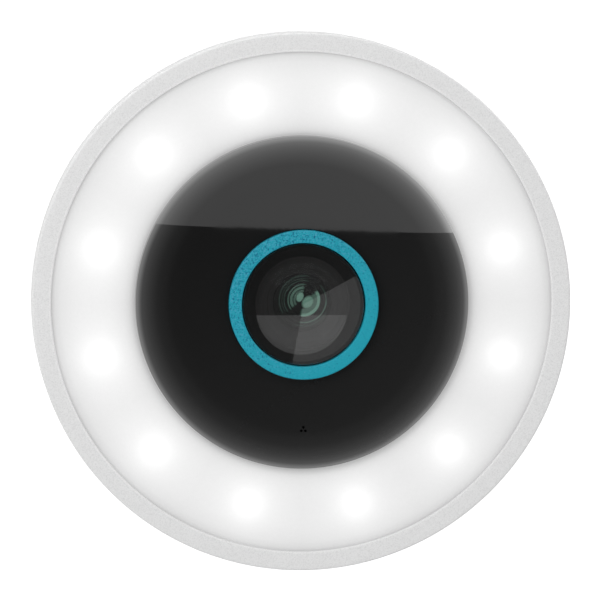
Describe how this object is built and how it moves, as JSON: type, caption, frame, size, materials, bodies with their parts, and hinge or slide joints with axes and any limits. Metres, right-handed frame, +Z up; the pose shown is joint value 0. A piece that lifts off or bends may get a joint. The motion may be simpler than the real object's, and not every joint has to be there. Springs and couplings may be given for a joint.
{
  "type": "floodlight security camera",
  "caption": "Round outdoor security camera with a ring floodlight round a domed black face, on a wall bracket that pans, tilts and rolls.",
  "frame": {"origin": "centre of the wall pad's back face, in the wall plane y = 0", "axes": "+Z up, the head faces -Y away from the wall, +X to the right seen from the front"},
  "size_m": [0.17, 0.112, 0.17],
  "materials": {
    "white_casting": "white fine-textured powder coat, matt",
    "white_trim": "fine spark-eroded texture, matt",
    "black_gloss": "high gloss",
    "black_matt": "matt, moulded",
    "black_anodised": "black anodised, satin",
    "teal_trim": "fine speckled satin",
    "diffuser_white": "opal, satin",
    "clear_glass": "clear, coated",
    "filter_glass": "interference coated",
    "seal_rubber": "moulded rubber",
    "plated_steel": "zinc plated",
    "grey_nylon": "moulded nylon",
    "pcb_green": "solder mask",
    "pcb_white": "white solder mask on metal-core board",
    "pcb_tan": "bare laminate",
    "led_yellow": "phosphor",
    "reflector_white": "gloss",
    "thermal_grey": "soft pad",
    "component_dark": "moulded",
    "gold_metal": "plated",
    "washer_ivory": "acetal"
  },
  "bodies": {
    "base": {"wall_gasket": "seal_rubber", "wall_base": "white_casting", "base_cover": "white_trim", "pan_thrust_washer": "washer_ivory"},
    "collar": {"pan_collar": "white_trim"},
    "arm": {"arm": "white_casting", "pan_wave_washer": "plated_steel", "friction_discs": "component_dark", "tilt_bolt": "plated_steel", "knob_washer": "plated_steel"},
    "knob": {"tilt_knob": "white_trim"},
    "neck": {"neck": "white_casting", "neck_seal": "seal_rubber", "stop_washer": "plated_steel", "neck_wave_washer": "plated_steel", "neck_nut": "plated_steel"},
    "head": {"rear_housing": "white_casting", "outer_seal": "seal_rubber", "inner_seal": "seal_rubber", "front_bezel": "white_trim", "bezel_screws": "plated_steel", "diffuser": "diffuser_white", "reflector": "reflector_white", "thermal_pad": "thermal_grey", "led_board": "pcb_white", "led_chips": "led_yellow", "led_board_screws": "plated_steel", "face_cover": "black_gloss", "cover_screws": "plated_steel", "lens_trim_ring": "teal_trim", "lens_window": "clear_glass", "lens_hood": "black_matt", "lens_barrel": "black_anodised", "lens_front_element": "clear_glass", "lens_middle_element": "clear_glass", "aperture_stop": "black_matt", "lens_rear_element": "clear_glass", "lens_holder": "black_matt", "image_sensor": "component_dark", "sensor_board": "pcb_green", "sensor_screws": "plated_steel", "filter_motor": "plated_steel", "camera_chassis": "black_matt", "chassis_screws": "plated_steel", "microphone": "gold_metal", "microphone_boot": "seal_rubber", "radar_board": "pcb_green", "wifi_antennas": "gold_metal", "main_board": "pcb_green", "board_screws": "plated_steel", "power_board": "pcb_tan", "power_components": "component_dark", "speaker": "black_matt", "vent_plug": "grey_nylon", "cable_gland": "grey_nylon", "gland_nut": "grey_nylon", "gland_seal": "seal_rubber"},
    "button": {"pair_button": "seal_rubber"},
    "filter": {"ir_filter_frame": "black_matt", "ir_filter_glass": "filter_glass"}
  },
  "joints": [
    {"name": "collar_turn", "type": "hinge", "parent": "base", "child": "collar", "pos_m": [0, -0.0125, 0], "axis": [0, -1, 0], "range_deg": [0, 90]},
    {"name": "pan", "type": "hinge", "parent": "base", "child": "arm", "pos_m": [0, -0.011, 0], "axis": [0, -1, 0], "range_deg": [-165, 165]},
    {"name": "tilt", "type": "hinge", "parent": "arm", "child": "neck", "pos_m": [0, -0.046, 0], "axis": [1, 0, 0], "range_deg": [-40, 40]},
    {"name": "roll", "type": "hinge", "parent": "neck", "child": "head", "pos_m": [0, -0.066, 0], "axis": [0, -1, 0], "range_deg": [-165, 165]},
    {"name": "knob_turn", "type": "hinge", "parent": "arm", "child": "knob", "pos_m": [0.02, -0.046, 0], "axis": [1, 0, 0], "range_deg": [0, 180]},
    {"name": "button_press", "type": "slide", "parent": "head", "child": "button", "axis": [0, -1, 0], "range_m": [0, 0.001], "stiffness_N_per_m": 500, "springref_m": -0.001},
    {"name": "filter_shift", "type": "slide", "parent": "head", "child": "filter", "axis": [1, 0, 0], "range_m": [-0.007, 0]}
  ]
}
